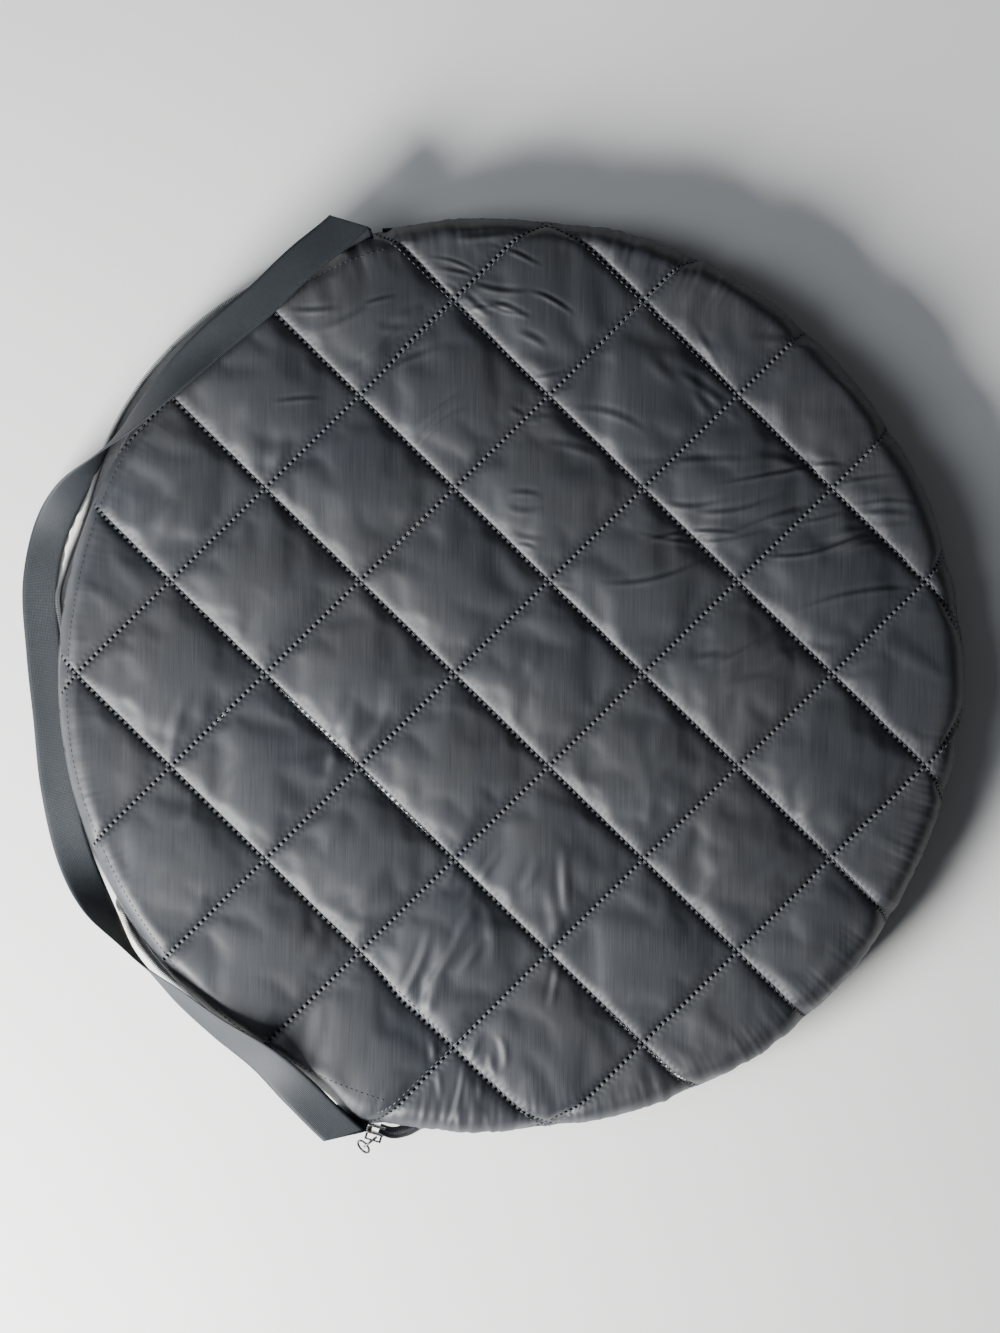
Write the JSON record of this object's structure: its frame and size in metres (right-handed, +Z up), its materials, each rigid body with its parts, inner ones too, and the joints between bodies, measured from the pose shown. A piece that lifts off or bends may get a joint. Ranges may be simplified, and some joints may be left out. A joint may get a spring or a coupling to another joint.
{
  "type": "collapsible reflector disc",
  "caption": "Photographer's collapsible reflector, folded to a disc inside its round diamond-quilted zip case with a webbing carrying strap",
  "frame": {"origin": "centre of the disc on the case's flat underside, where it lies on a table", "axes": "+Z up through the thickness of the disc, mouth and carrying strap towards -X, zip slider towards -Y"},
  "size_m": [0.6616, 0.6579, 0.0589],
  "materials": {
    "quilted_nylon": "slate-black satin nylon taffeta, plain weave, diamond quilted",
    "wadding": "white polyester wadding",
    "lining": "ivory woven polyester lining",
    "zip_tape": "black woven polyester tape",
    "zip_coil": "black nylon coil",
    "webbing": "slate-black ribbed polypropylene webbing",
    "black_metal": "black lacquered zinc, worn bright at edges",
    "spring_steel": "bright spring steel strip",
    "white_cloth": "matt white reflector cloth",
    "silver_cloth": "metallised silver reflector cloth"
  },
  "bodies": {
    "case": {"back_cover": "quilted_nylon", "back_batting": "wadding", "back_lining": "lining", "front_cover": "quilted_nylon", "front_batting": "wadding", "front_lining": "lining", "rim_seam_binding": "zip_tape", "back_zip_tape": "zip_tape", "back_zip_coil": "zip_coil", "zip_tail_bottom": "zip_tape", "zip_tail_top": "zip_tape"},
    "mouth_flap": {"mouth_flap_cover": "quilted_nylon", "mouth_flap_batting": "wadding", "mouth_flap_lining": "lining", "front_zip_tape": "zip_tape", "front_zip_coil": "zip_coil", "strap_end_top": "webbing", "strap_end_bottom": "webbing"},
    "strap": {"strap_webbing": "webbing"},
    "slider": {"zip_slider": "black_metal"},
    "pull_tab": {"slider_pull_tab": "black_metal"},
    "ring": {"pull_ring": "black_metal"},
    "reflector": {"reflector_edge_binding": "zip_tape", "reflector_spring_band": "spring_steel", "band_joint_sleeve": "spring_steel", "reflector_white_cloth": "white_cloth", "reflector_silver_cloth": "silver_cloth"}
  },
  "joints": [
    {"name": "mouth_flap_lift", "type": "hinge", "parent": "case", "child": "mouth_flap", "pos_m": [-0.09303, 0, 0.052], "axis": [0, 1, 0], "range_deg": [0, 40]},
    {"name": "strap_swing", "type": "hinge", "parent": "mouth_flap", "child": "strap", "pos_m": [-0.106, 0, 0.038], "axis": [0, 1, 0], "range_deg": [0, 115], "deforming": ["strap_webbing"]},
    {"name": "slider_run", "type": "hinge", "parent": "case", "child": "slider", "pos_m": [0, 0, 0.026], "axis": [0, 0, -1], "range_deg": [0, 147]},
    {"name": "pull_tab_turn", "type": "hinge", "parent": "slider", "child": "pull_tab", "pos_m": [-0.09622, -0.32485, 0.026], "axis": [0, 0, 1], "range_deg": [-10, 80]},
    {"name": "pull_ring_swing", "type": "hinge", "parent": "pull_tab", "child": "ring", "pos_m": [-0.10037, -0.32815, 0.026], "axis": [0.6225, -0.7826, 0], "range_deg": [-140, 35]},
    {"name": "reflector_out", "type": "slide", "parent": "case", "child": "reflector", "axis": [-1, 0, 0], "range_m": [0, 0.62]}
  ]
}
